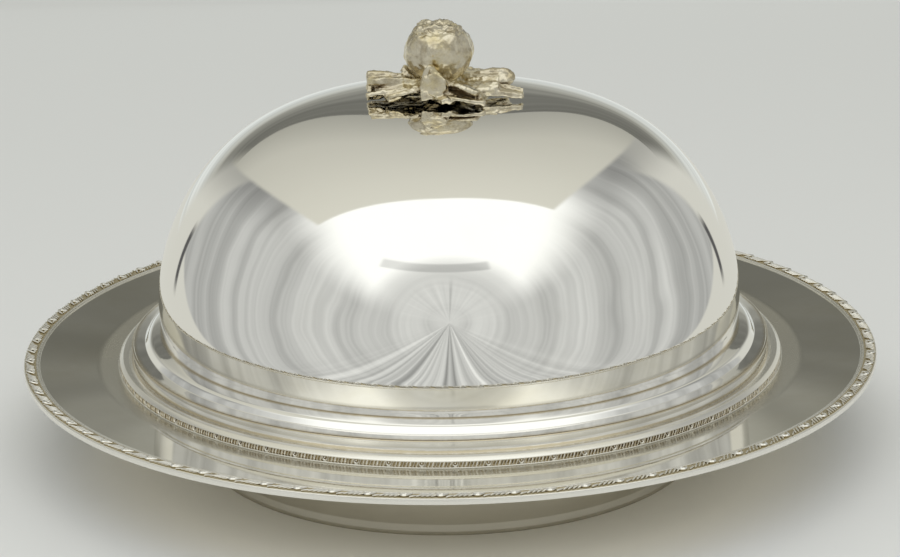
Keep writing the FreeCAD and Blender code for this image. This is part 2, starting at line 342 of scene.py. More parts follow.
def cast_silver(name, tarnish_and_shade_colour, grain_scale, grain_depth):
    """Cast and chased silver, yellow and dull in patches, and brown where ambient occlusion finds it
    sheltered: partly tarnish in its hollows, partly painted shade under and between the pieces.
    """
    yellow = (0.64, 0.54, 0.30)
    grey_brown = (0.30, 0.24, 0.14)
    made, nodes, place = material(name)
    openness = nodes.add("ShaderNodeAmbientOcclusion", {"samples": 8, "only_local": True}, {
        "Distance": 3.5 * MM}, "AO")
    patches = nodes.noise(place, scale=130.0, detail=4.0, roughness=0.65)
    # Ambient occlusion mixes in the brown: real tarnish in the hollows, and painted shade where the pieces
    # shelter one another
    tarnish_and_shade = nodes.step(openness + (patches - 0.5) * 0.6, 0.97, 0.42)
    yellowed = nodes.step(patches, 0.45, 0.72)
    dull = nodes.step(nodes.noise(place, scale=210.0, detail=3.0, roughness=0.6), 0.44, 0.66)
    light = nodes.mix(yellowed * 0.7, tuple(colours().cast_silver), yellow)
    light = nodes.mix(dull * 0.5, light, grey_brown)
    base = nodes.mix(tarnish_and_shade, light, tarnish_and_shade_colour)
    grain = nodes.noise(place, scale=grain_scale, detail=5.0, roughness=0.65)
    metal(nodes, base, tarnish_and_shade * 0.3 + (patches * 0.14 + 0.09), grain, grain_depth, 0.5)
    return made


def brass():
    """Turned brass that has gone a little brown."""
    browned = (0.6, 0.44, 0.2)
    made, nodes, place = material("turned brass")
    lines = nodes.noise(place, scale=700.0, detail=3.0, roughness=0.6)
    base = nodes.mix(nodes.noise(place, scale=200.0, detail=3.0), tuple(colours().brass), browned)
    metal(nodes, base, lines * 0.15 + 0.22, lines, 0.05 * MM, 0.3)
    return made


# Modelling helpers


def deselect():
    if bpy.context.mode != "OBJECT":
        bpy.ops.object.mode_set(mode="OBJECT")
    bpy.ops.object.select_all(action="DESELECT")


def make_active(piece):
    deselect()
    piece.select_set(True)
    bpy.context.view_layer.objects.active = piece


def rounded(corners, closed=False, spacing=2.5 * MM, arc_step=9 * DEGREE):
    """Points (r, z) through the corners (r, z, rounding), each corner rounded by its tangent arc."""
    points = []
    count = len(corners)
    for index, corner in enumerate(corners):
        here = Vector(corner[:2])
        rounding = corner[2] if len(corner) > 2 else 0
        if rounding and (closed or 0 < index < count - 1):
            inward = (Vector(corners[index - 1][:2]) - here).normalized()
            outward = (Vector(corners[(index + 1) % count][:2]) - here).normalized()
            opening = inward.angle(outward)
            centre = here + (inward + outward).normalized() * rounding / math.sin(opening / 2)
            start = here + inward * rounding / math.tan(opening / 2) - centre
            end = here + outward * rounding / math.tan(opening / 2) - centre
            first = math.atan2(start.y, start.x)
            turn = math.atan2(start.cross(end), start.dot(end))
            steps = max(3, math.ceil((math.pi - opening) / arc_step))
            for step in range(steps + 1):
                angle = first + turn * step / steps
                points.append(centre + rounding * Vector((math.cos(angle), math.sin(angle))))
        else:
            points.append(here)
    pairs = zip(points, points[1:] + points[:1]) if closed else zip(points, points[1:])
    fine = []
    for start, end in pairs:
        parts = max(1, math.ceil((end - start).length / spacing))
        fine += [start.lerp(end, part / parts) for part in range(parts)]
    return fine if closed else fine + [points[-1]]


def wire(name, points, closed=False):
    """A chain of edges in the XZ plane, drawn by extruding one vertex."""
    deselect()
    bpy.ops.mesh.primitive_plane_add(size=MM)
    piece = bpy.context.object
    piece.name = name
    bpy.ops.object.mode_set(mode="EDIT")
    bpy.ops.mesh.merge(type="CENTER")
    bpy.ops.transform.translate(value=(points[0].x, 0, points[0].y))
    for start, end in zip(points, points[1:]):
        step = end - start
        bpy.ops.mesh.extrude_region_move(TRANSFORM_OT_translate={"value": (step.x, 0, step.y)})
    if closed:
        bpy.ops.object.mode_set(mode="OBJECT")
        ends = {0, len(piece.data.vertices) - 1}
        for vertex in piece.data.vertices:
            vertex.select = vertex.index in ends
        bpy.ops.object.mode_set(mode="EDIT")
        bpy.ops.mesh.edge_face_add()
    bpy.ops.object.mode_set(mode="OBJECT")
    return piece


def spun(name, points, closed=False, steps=None):
    """A piece turned from its half section."""
    piece = wire(name, points, closed)
    steps = steps or sizes().turn_steps
    bpy.ops.object.mode_set(mode="EDIT")
    bpy.ops.mesh.select_all(action="SELECT")
    bpy.ops.mesh.spin(steps=steps, angle=2 * math.pi, center=(0, 0, 0), axis=(0, 0, 1))
    bpy.ops.mesh.select_all(action="SELECT")
    bpy.ops.mesh.remove_doubles(threshold=0.002 * MM)
    bpy.ops.mesh.normals_make_consistent(inside=False)
    bpy.ops.object.mode_set(mode="OBJECT")
    return piece


def apply_modifiers(piece):
    make_active(piece)
    for modifier in list(piece.modifiers):
        bpy.ops.object.modifier_apply(modifier=modifier.name)


def thicken(piece, thickness, offset):
    """Gives a sheet its wall: on one side with an offset of -1 or 1, on both with 0."""
    wall = piece.modifiers.new("wall", "SOLIDIFY")
    wall.thickness = thickness
    wall.offset = offset
    apply_modifiers(piece)


def smooth(piece, angle=40 * DEGREE):
    make_active(piece)
    bpy.ops.object.shade_smooth_by_angle(angle=angle)


def merge_pieces(pieces, name):
    deselect()
    for piece in pieces:
        piece.select_set(True)
    bpy.context.view_layer.objects.active = pieces[0]
    bpy.ops.object.join()
    bpy.context.object.name = name
    return bpy.context.object


def finish_piece(piece, finish, slot_name, *nodes):
    piece.data.materials.clear()
    piece.data.materials.append(finish)
    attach(piece, "root")
    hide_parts(*nodes)


def ridge(name, at, places, sides=1):
    """A raised stroke: a tapered round rod through the places, each three measures for at and a radius."""
    curve = bpy.data.curves.new(name, "CURVE")
    curve.dimensions = "3D"
    curve.resolution_u = 3
    curve.bevel_depth = 1.0
    curve.bevel_resolution = sides
    curve.use_fill_caps = True
    spline = curve.splines.new("NURBS")
    spline.points.add(len(places) - 1)
    for point, (*place, radius) in zip(spline.points, places):
        point.co = (*at(*place), 1.0)
        point.radius = radius * MM
    spline.order_u = 3
    spline.use_endpoint_u = True
    stroke = bpy.data.objects.new(name, curve)
    bpy.context.collection.objects.link(stroke)
    make_active(stroke)
    bpy.ops.object.convert(target="MESH")
    return bpy.context.object


def repeated(unit, count):
    """The unit copied evenly round the axis by one Array modifier."""
    deselect()
    bpy.ops.object.empty_add(location=(0, 0, 0), rotation=(0, 0, 2 * math.pi / count))
    turn = bpy.context.object
    array = unit.modifiers.new("round the axis", "ARRAY")
    array.count = count
    array.use_relative_offset = False
    array.use_object_offset = True
    array.offset_object = turn
    apply_modifiers(unit)
    bpy.data.objects.remove(turn)
    return unit


# Radii and heights that follow from the sizes


def seat_outer():
    """Where the cover's seat ends and the brim begins."""
    return rim_radius - sizes().brim_width


def mouth():
    """Where the well begins, inside the seat."""
    return seat_outer() - sizes().seat_width


def band_radius():
    """Outside of the cover's band, which stands in the mouth."""
    return mouth() - sizes().band_fit


def brim_top(radius):
    """Height of the brim's upper side."""
    return seat_height + sizes().brim_rise * (radius - seat_outer()) / (brim_edge - seat_outer())


class DISH_OT_body(bpy.types.Operator):
    """Spin the dish's sheet: well, seat and brim"""

    bl_idname = "dish.body"
    bl_label = "Dish body"

    def execute(self, context):
        size = sizes()
        floor = seat_height - size.well_depth
        corners = [
            (0, floor),
            (mouth() - size.well_wall_run, floor, 9 * MM),
            (mouth(), seat_height - 5 * MM, 4.5 * MM),
            (mouth(), seat_height, 1.5 * MM),
            (seat_outer(), seat_height, 12 * MM),
            (brim_edge, brim_top(brim_edge)),
        ]
        body = spun("dish_sheet", rounded(corners, arc_step=6 * DEGREE))
        thicken(body, size.sheet_wall, -1 if body.data.polygons[0].normal.z > 0 else 1)
        smooth(body)
        finish_piece(body, brim_silver(), "polished_silver", "dish_body")
        return {"FINISHED"}


class DISH_OT_foot(bpy.types.Operator):
    """Spin the foot ring"""

    bl_idname = "dish.foot"
    bl_label = "Foot ring"

    def execute(self, context):
        bead = foot_high.x
        outer = bead - 0.55 * MM
        inner = outer - 1.6 * MM
        flange = outer - 3.2 * MM
        flange_under = foot_top - 0.8 * MM
        corners = [
            (inner, 0, 0.4 * MM),
            (bead, 0, 0.5 * MM),
            (bead, 1.4 * MM, 1.0 * MM),
            (outer, 3.6 * MM, 2.0 * MM),
            (outer, foot_top),
            (flange, foot_top),
            (flange, flange_under),
            (inner, flange_under, 0.5 * MM),
        ]
        foot = spun("foot_turned", rounded(corners, closed=True), closed=True)
        smooth(foot)
        finish_piece(foot, foot_silver(), "polished_silver", "foot_ring")
        return {"FINISHED"}


class DISH_OT_cover(bpy.types.Operator):
    """Spin the cover: band, bead, convex shoulder and dome"""

    bl_idname = "dish.cover"
    bl_label = "Cover dome"

    def execute(self, context):
        band = band_radius()
        bead = band + 0.55 * MM
        bead_top = seat_height + 7.3 * MM
        cove = (band - 4.2 * MM, bead_top + 0.5 * MM)
        wall_foot = (cove[0] - 6.2 * MM, cove[1] + 3.2 * MM)
        corners = [
            (band, dome_low.z),
            (band, bead_top - 1.1 * MM),
            (bead, bead_top - 0.9 * MM, 0.25 * MM),
            (bead, bead_top - 0.2 * MM, 0.25 * MM),
            (band - 0.1 * MM, bead_top, 0.3 * MM),
            (*cove, 0.6 * MM),
            (cove[0] - 1.7 * MM, cove[1] + 2.2 * MM, 3.0 * MM),
            wall_foot,
        ]
        points = rounded(corners, spacing=1.5 * MM)

        # The wall stands nearly upright and swells a little, up to where the dome is widest
        widest_height = seat_height + 23.0 * MM
        wall_height = widest_height - wall_foot[1]
        swell = 0.8 * MM
        wall_steps = 11
        for step in range(1, wall_steps + 1):
            share = 1 - step / wall_steps
            points.append(Vector((
                wall_foot[0] + swell * (1 - share ** 2), widest_height - wall_height * share)))

        # From there it is one full arch, up to a flat round the stud's hole
        flat = 7 * MM
        reach = wall_foot[0] + swell - flat
        rise = dome_top - widest_height
        shoulder_fullness = 3.13
        crown_fullness = 1.67
        arch_steps = 60
        stud_hole = 2.1 * MM
        for step in range(1, arch_steps + 1):
            angle = math.pi / 2 * step / arch_steps
            across = max(math.cos(angle), 0.0) ** (2 / shoulder_fullness)
            upward = math.sin(angle) ** (2 / crown_fullness)
            points.append(Vector((flat + reach * across, widest_height + rise * upward)))
        points.append(Vector((stud_hole, dome_top)))

        cover = spun("cover_sheet", points)
        thicken(cover, sizes().sheet_wall, -1)
        smooth(cover, 50 * DEGREE)
        crevices = (
            (wall_foot[1], 0.2 * MM), (bead_top - 0.1 * MM, 0.22 * MM), (seat_height + 3.5 * MM, 0.55 * MM))
        finish_piece(cover, cover_silver(crevices), "polished_silver", "cover_dome")
        return {"FINISHED"}


def on_rim(along, out, lift):
    """A place on the rim, in millimetres: to the right of the front, out from the border's start, up."""
    radius = border_start + out * MM
    angle = FRONT + along * MM / rim_radius
    return (radius * math.cos(angle), radius * math.sin(angle), brim_top(radius) + lift * MM)


class DISH_OT_rim_border(bpy.types.Operator):
    """Model the rim's border: fillets, lip, and the scrolls copied round it"""

    bl_idname = "dish.rim_border"
    bl_label = "Rim border"

    def execute(self, context):
        size = sizes()
        start_height = brim_top(border_start)
        bed = border_start + 1.4 * MM
        crest = brim_top(brim_edge) + 0.35 * MM
        lip_bottom = crest - 2.4 * MM
        # Two inner fillets: each corner's distance from the border's start, height over the brim, rounding
        fillets = (
            (0.0, 0.0, 0.0), (0.0, 0.35, 0.12), (0.6, 0.45, 0.15),
            (0.75, 0.2, 0.05), (0.85, 0.6, 0.15), (1.35, 0.65, 0.15))
        corners = [
            (border_start + out * MM, start_height + up * MM, rounding * MM) for out, up, rounding in fillets]
        corners += [
            (bed, brim_top(bed) + 0.15 * MM, 0.05 * MM),
            (rim_radius - 0.9 * MM, crest - 0.1 * MM, 0.3 * MM),
            (rim_radius, crest - 0.4 * MM, 0.35 * MM),
            (rim_radius - 0.05 * MM, lip_bottom, 0.3 * MM),
            (brim_edge, lip_bottom),
            (brim_edge, brim_top(brim_edge)),
        ]
        ring = spun("rim_ring", rounded(corners, closed=True), closed=True, steps=size.rim_units * 3)

        # One unit: four slanting leaflets, two hooks, and a stroke along the edge to the next unit
        pitch = 2 * math.pi * rim_radius / size.rim_units / MM
        strokes = [
            ridge("leaflet", on_rim, (
                (0.2 + leaf, 4.9, 0.3, 0.2), (1.3 + leaf, 3.9, 0.6, 0.46), (2.9 + leaf, 2.0, 0.45, 0.24)))
            for leaf in (0.0, 1.5, 3.0, 4.5)]
        strokes += [
            ridge("hook", on_rim, (
                (6.0, 1.9, 0.4, 0.28), (6.3, 3.2, 0.6, 0.46), (7.2, 4.6, 0.6, 0.55),
                (8.6, 4.3, 0.65, 0.46), (9.9, 2.2, 0.5, 0.24))),
            ridge("hook", on_rim, ((7.3, 2.0, 0.4, 0.22), (7.8, 3.1, 0.6, 0.42), (8.8, 2.0, 0.4, 0.22))),
            ridge("edge", on_rim, (
                (9.3, 5.0, 0.35, 0.24), (10.5, 4.6, 0.5, 0.4), (pitch + 0.6, 3.6, 0.4, 0.2))),
        ]
        scrolls = repeated(merge_pieces(strokes, "rim_scrolls"), size.rim_units)
        border = merge_pieces([ring, scrolls], "rim_ornament")
        smooth(border, 45 * DEGREE)

        def height_over_bed(nodes, x, y, z):
            """Height over the brim. The lip and the fillets count as high, so that they stay bright."""
            radius = from_axis(x, y)
            slope = size.brim_rise / (size.brim_width - brim_inset)
            lip = nodes.step(radius, rim_radius - 0.5 * MM, rim_radius - 0.2 * MM)
            inner = nodes.step(radius, bed, bed - 0.1 * MM)
            return z - (radius * slope + (start_height - border_start * slope)) + (lip + inner) * (10 * MM)

        yellow_brown = (0.50, 0.43, 0.27)
        finish = border_silver("rim ornament silver", height_over_bed, 0.2 * MM, 0.7 * MM, yellow_brown)
        finish_piece(border, finish, "ornament_silver", "rim_border")
        return {"FINISHED"}


def on_band(along, up, out):
    """A place on the reeds' face, in millimetres: to the right of the front, up from the seat, out."""
    radius = reed_face + out * MM
    angle = FRONT + along * MM / radius
    return (radius * math.cos(angle), radius * math.sin(angle), seat_height + up * MM)


class DISH_OT_cover_border(bpy.types.Operator):
    """Model the cover's border: fillet, roll, and the tied reeds copied round it"""

    bl_idname = "dish.cover_border"
    bl_label = "Cover border"

    def execute(self, context):
        size = sizes()
        band = band_radius()
        outer = border_high.x
        roll = reed_face + 0.4 * MM
        top = seat_height + 3.35 * MM
        corners = [
            (band, seat_height),
            (outer, seat_height, 0.15 * MM),
            (outer, seat_height + 0.45 * MM, 0.2 * MM),
            (reed_face - 0.1 * MM, seat_height + 0.55 * MM),
            (reed_face - 0.15 * MM, seat_height + 1.95 * MM),
            (roll, seat_height + 2.0 * MM, 0.12 * MM),
            (roll, seat_height + 2.3 * MM, 0.2 * MM),
            (reed_face - 0.9 * MM, top - 0.05 * MM, 0.5 * MM),
            (reed_face - 2.6 * MM, top, 0.9 * MM),
            (band + 0.1 * MM, top - 0.4 * MM),
            (band, top - 0.5 * MM),
        ]
        ring = spun("cover_ring", rounded(corners, closed=True), closed=True)

        # One unit: a bundle of leaning reeds of three thicknesses, and the tie with its bud
        pitch = 2 * math.pi * reed_face / size.reed_units / MM
        reeds = 8
        strokes = []
        for reed in range(reeds):
            along = 2.2 + (pitch - 2.6) * reed / (reeds - 1)
            heft = reed % 3
            strokes.append(ridge("reed", on_band, (
                (along - 0.3, 0.5, 0.0, 0.26),
                (along, 1.2, 0.2 + 0.12 * heft, 0.36 + 0.06 * heft),
                (along + 0.3, 2.0, 0.0, 0.26))))
        strokes += [
            ridge("tie", on_band, (
                (0.1, 2.0, 0.1, 0.22), (0.3, 0.9, 0.3, 0.28), (1.0, 0.6, 0.35, 0.3),
                (1.7, 0.9, 0.3, 0.28), (1.9, 2.0, 0.1, 0.22))),
            ridge("bud", on_band, ((0.85, 1.6, 0.2, 0.34), (1.15, 1.6, 0.2, 0.34))),
        ]
        bundles = repeated(merge_pieces(strokes, "reed_bundles"), size.reed_units)
        border = merge_pieces([ring, bundles], "cover_ornament")
        smooth(border, 45 * DEGREE)

        def height_over_face(nodes, x, y, z):
            """Height over the reeds' face. The roll and the fillet count as high, and stay bright."""
            above = nodes.step(z, seat_height + 1.9 * MM, seat_height + 2.1 * MM)
            below = nodes.step(z, seat_height + 0.6 * MM, seat_height + 0.4 * MM)
            return from_axis(x, y) - reed_face + (above + below) * (10 * MM)

        tarnish = tuple(1.15 * tint for tint in colours().tarnish)
        finish = border_silver("cover ornament silver", height_over_face, 0.05 * MM, 0.6 * MM, tarnish)
        finish_piece(border, finish, "ornament_silver", "cover_border")
        return {"FINISHED"}


def finial_place(x, y, z):
    """A place on the finial, in millimetres, with its height over the cover's seat."""
    return Vector((x * MM, y * MM, seat_height + z * MM))


def blade(start, end, widths, lift=0.0, twist=0.0, curl=0.0, thick=1.5):
    """A thick leaf from start to end, with its widths at root, middle and end.

    Lift bows it, twist tips it in degrees, and curl rolls its edges up.
    """
    least_width = 0.3
    pucker = 0.5
    deselect()
    bpy.ops.mesh.primitive_grid_add(x_subdivisions=14, y_subdivisions=6, size=2)
    leaf = bpy.context.object
    root = finial_place(*start)
    along = finial_place(*end) - root
    level = Vector((-along.y, along.x, 0)).normalized()
    upright = along.normalized().cross(level)
    side = level * math.cos(twist * DEGREE) + upright * math.sin(twist * DEGREE)
    face = along.normalized().cross(side)
    first, middle, last = widths
    for vertex in leaf.data.vertices:
        share = (vertex.co.x + 1) / 2
        across = vertex.co.y
        width = (first * (1 - share) * (1 - 2 * share) + 4 * middle * share * (1 - share)
                 + last * share * (2 * share - 1))
        place = root + along * share + side * across * max(width, least_width) / 2 * MM
        wave = pucker * math.cos(across * 5 + share * 2)
        place += face * (curl * across ** 2 + wave) * MM * min(1, share * 3)
        vertex.co = place + Vector((0, 0, lift * math.sin(math.pi * share) * MM))
    thicken(leaf, thick * MM, 0)
    return leaf


def lump(place, radii):
    """A ball drawn out to the radii."""
    deselect()
    bpy.ops.mesh.primitive_uv_sphere_add(segments=24, ring_count=16, radius=MM, location=finial_place(*place))
    bpy.context.object.scale = radii
    bpy.ops.object.transform_apply(location=True, rotation=True, scale=True)
    return bpy.context.object


def cast(pieces, name, voxel):
    """Melts the pieces into one skin, made of cells of so many millimetres."""
    piece = merge_pieces(pieces, name)
    skin = piece.modifiers.new("skin", "REMESH")
    skin.mode = "VOXEL"
    skin.voxel_size = voxel * MM
    apply_modifiers(piece)
    return piece


def roughen(piece, size, depth, group=""):
    """Uneven surface: lumps of the size, in millimetres, that stand up by the depth."""
    pattern = bpy.data.textures.new("unevenness", "CLOUDS")
    pattern.noise_scale = size * MM
    pattern.noise_depth = 2
    shift = piece.modifiers.new("uneven", "DISPLACE")
    shift.texture = pattern
    shift.texture_coords = "LOCAL"
    shift.strength = depth * MM
    shift.vertex_group = group
    apply_modifiers(piece)


def relax(piece, times):
    """Softens the edges that melting leaves."""
    softer = piece.modifiers.new("relax", "SMOOTH")
    softer.factor = 0.5
    softer.iterations = times
    apply_modifiers(piece)


class DISH_OT_leaves(bpy.types.Operator):
    """Model the cast spray of leaves and cut twigs under the fruit"""

    bl_idname = "dish.leaves"
    bl_label = "Leaf spray"

    def execute(self, context):
        # Left: a broad split leaf, its upper lobe rolled
        pieces = [
            blade((-3, 0, 95.5), (-27.0, -1.0, 97.2), (9, 11, 9.5), lift=0.6, twist=24, curl=-1.6, thick=2.6),
            blade((-3, -5, 94.0), (-27.2, -6.5, 92.9), (9, 10, 8.5), lift=0.8, twist=10, curl=0.7, thick=1.6),
            blade((-5, -7, 94.6), (-20.0, -12.5, 93.4), (8, 8, 6), lift=0.9, twist=14, curl=0.4, thick=1.8),
            blade((-6, 2, 95.0), (-15.0, 3.5, 100.6), (7, 6, 2.5), lift=0.2, twist=-20, curl=0.8, thick=1.6),
        ]
        # Front: a standing pointed leaf behind a cut twig, and three that lie
        pieces += [
            blade((-3.6, -13.5, 93.6), (-5.0, -13.6, 105.6), (9, 8.6, 0.6), twist=90, curl=-0.8),
            blade((-1.5, -10, 93.5), (1.5, -17.5, 93.2), (8, 8, 6), lift=0.6, curl=0.5, thick=2.0),
            blade((1, -8, 97.0), (12.0, -15.5, 94.6), (8, 8, 7.0), lift=0.8, twist=-28, curl=0.3, thick=2.0),
            blade((1, -9, 94.0), (13.0, -19.0, 92.9), (9, 10, 0.6), lift=0.5, curl=0.6, thick=1.4),
        ]
        # Right: an upper leaf with a rolled end, and three lower ones
        pieces += [
            blade((3, 1, 96.2), (23.0, 3.0, 97.6), (8, 8, 4.5), lift=0.7, twist=20, curl=-1.0, thick=2.4),
            blade((4, -4, 95.0), (18.5, -6.0, 96.8), (8, 7, 6), lift=0.3, twist=22, curl=0.4, thick=1.8),
            blade((10, -5, 94.2), (26.6, -7.5, 93.0), (8, 6, 4.6), lift=0.6, twist=16, curl=0.9, thick=1.8),
            blade((8, -2, 93.6), (22.0, 1.0, 93.2), (8, 8, 5), lift=0.4, curl=0.5, thick=1.6),
        ]
        # Back: three plain leaves
        pieces += [
            blade((3, 4, 95.0), (15.0, 19.0, 94.6), (8, 10, 1.0), lift=1.6, curl=0.7),
            blade((-3, 5, 95.0), (-13.0, 20.0, 94.2), (8, 10, 1.2), lift=1.8, twist=5, curl=0.7),
            blade((0, 5, 94.0), (1.0, 23.0, 93.6), (8, 9, 6), lift=1.0, twist=-6, curl=0.7),
        ]
        # Rolled edges, the twig's stub and the solid middle
        pieces += [
            ridge("roll", finial_place, (
                (-6, 2, 97.6, 1.3), (-14, 1.2, 98.0, 1.2), (-21, 1.0, 99.0, 1.7), (-27, 0.8, 98.9, 1.5)), 3),
            ridge("roll", finial_place, (
                (6, 2, 97.0, 1.4), (14, 2.6, 98.8, 1.4), (20, 3.2, 98.9, 1.9), (23.4, 3.0, 96.6, 2.3),
                (20.6, 2.2, 95.4, 1.5)), 3),
            ridge("twig", finial_place, (
                (-3.2, -4, 97.4, 4.2), (-3.4, -12, 98.6, 4.1), (-3.5, -15.4, 98.8, 3.9)), 5),
            lump((0, 0, 94.6), (10.5, 10.5, 3.6)),
            lump((-2, 0, 97.0), (7.8, 7.8, 2.6)),
            lump((-13.5, -3.4, 95.2), (11.0, 5.0, 2.3)),
            lump((11.0, -5.6, 94.9), (9.0, 5.0, 2.2)),
            lump((2.0, -9.5, 94.4), (7.0, 5.5, 2.0)),
        ]
        spray = cast(pieces, "leaf_spray", voxel=0.34)
        relax(spray, 10)
        roughen(spray, size=3.4, depth=1.2)
        roughen(spray, size=0.9, depth=0.2)
        smooth(spray, 180 * DEGREE)
        # The brown of sheltered places: tarnish in the hollows, and painted shade under the leaves and
        # against the dome
        brown = (0.38, 0.31, 0.21)
        finish = cast_silver("leaf silver", brown, grain_scale=520.0, grain_depth=0.2 * MM)
        finish_piece(spray, finish, "cast_silver", "finial_leaves")
        return {"FINISHED"}


class DISH_OT_fruit(bpy.types.Operator):
    """Model the cast fruit: a ribbed body under a crumpled crown"""

    bl_idname = "dish.fruit"
    bl_label = "Fruit"

    def execute(self, context):
        outline = (
            (0, 96.4), (5.8, 96.8), (9.9, 99.2), (12.8, 102.8), (13.8, 107.0), (13.4, 110.6), (11.6, 113.7),
            (7.9, 115.9), (5.0, 116.4), (3.0, 115.2), (0, 114.6))
        ribs = 9
        columns = 4
        points = [Vector((r * MM, seat_height + z * MM)) for r, z in outline]
        body = spun("fruit_body", points, steps=ribs * columns)
        # The groove between two ribs is drawn in, and so, less, are the columns on both its sides
        for drawn_in, share in ((0, 0.92), (1, 0.975), (3, 0.975)):
            for vertex in body.data.vertices:
                column = round(math.atan2(vertex.co.y, vertex.co.x) / (2 * math.pi) * ribs * columns)
                vertex.select = column % columns == drawn_in
            make_active(body)
            bpy.ops.object.mode_set(mode="EDIT")
            bpy.ops.transform.resize(value=(share, share, 1), center_override=(0, 0, 0))
            bpy.ops.object.mode_set(mode="OBJECT")
        make_active(body)
        bpy.ops.object.mode_set(mode="EDIT")
        bpy.ops.mesh.select_all(action="SELECT")
        bpy.ops.transform.translate(value=(-2 * MM, 0, 0))
        bpy.ops.object.mode_set(mode="OBJECT")
        rounder = body.modifiers.new("rounder", "SUBSURF")
        rounder.levels = rounder.render_levels = 2
        apply_modifiers(body)
        crown = [
            lump((-6.6, -4.6, 115.2), (3.9, 3.0, 2.3)),
            lump((-3.4, -4.8, 115.9), (3.2, 2.2, 1.6)),
            lump((0.6, -4.0, 115.5), (3.0, 2.2, 1.5)),
            lump((3.6, -1.6, 115.0), (2.8, 3.0, 1.5)),
            lump((-6.4, 3.4, 115.4), (3.2, 3.2, 1.7)),
            lump((-0.6, 4.6, 115.4), (3.8, 2.6, 1.7)),
            lump((-2.2, 0.0, 115.2), (2.2, 1.8, 1.3)),
        ]
        fruit = cast([body] + crown, "fruit_cast", voxel=0.32)
        relax(fruit, 4)
        roughen(fruit, size=6.0, depth=1.4)

        # The crown is crumpled in full, and the body hardly at all
        crown_start = 113.4
        crown_fade = 2.2
        body_share = 0.06
        top = fruit.vertex_groups.new(name="crown")
        for vertex in fruit.data.vertices:
            height = (vertex.co.z - seat_height) / MM
            share = min(max((height - crown_start) / crown_fade, body_share), 1)
            top.add([vertex.index], share, "REPLACE")
        roughen(fruit, size=1.5, depth=1.3, group="crown")
        smooth(fruit, 180 * DEGREE)
        # The dark brown of sheltered places: tarnish in the hollows, and painted shade low on the fruit
        dark_brown = (0.24, 0.18, 0.09)
        finish = cast_silver("fruit silver", dark_brown, grain_scale=620.0, grain_depth=0.12 * MM)
        finish_piece(fruit, finish, "cast_silver", "finial_fruit")
        return {"FINISHED"}


class DISH_OT_fastening(bpy.types.Operator):
    """Finish the stud, washer and nut inside the cover"""

    bl_idname = "dish.fastening"
    bl_label = "Fastening"

    def execute(self, context):
        finish = brass()
        for name in ("finial_stud", "finial_washer", "finial_nut"):
            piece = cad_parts[name]
            piece.data.materials.clear()
            piece.data.materials.append(finish)
        return {"FINISHED"}


# The studio


def tent_cloth(nodes, spread, around, drift):
    """Brightness of the cloth, by the angles from the lens (spread) and round it (around)."""
    # At the sides it hangs in soft folds that follow the distance from the lens
    broad = nodes.stripes(spread + drift * 14.0, scale=0.075)
    narrow = nodes.stripes(spread + drift * 10.0, scale=0.3, roughness=0.6)
    side = nodes.curve(spread, ((0, 0.62), (50, 0.60), (80, 0.55), (115, 0.44), (150, 0.46), (180, 0.62)))
    side = side * ((broad - 0.5) * 1.3 * (drift + 0.3) + (narrow - 0.5) * 0.45 + 1.0)
    # Under and over the lens it is gathered, so its folds run outwards from there
    gathered = nodes.stripes(around, scale=0.13, detail=3.0, roughness=0.6)
    fold = nodes.patch(around, -94.0, edge=3.2, full=0.8)
    seam = nodes.patch(around, 88.0, edge=3.0, full=0.6)
    under = (gathered - 0.5) * 1.5 + 0.60 - fold * 0.32
    over = (gathered - 0.5) * 0.4 + 0.70 - seam * 0.3
    low = nodes.patch(around, -90.0, edge=74.0, full=30.0) * nodes.step(spread, 120.0, 70.0)
    high = nodes.patch(around, 90.0, edge=100.0, full=60.0) * nodes.step(spread, 24.0, 15.0) * 0.6
    return blend(high, blend(low, side, under), over)


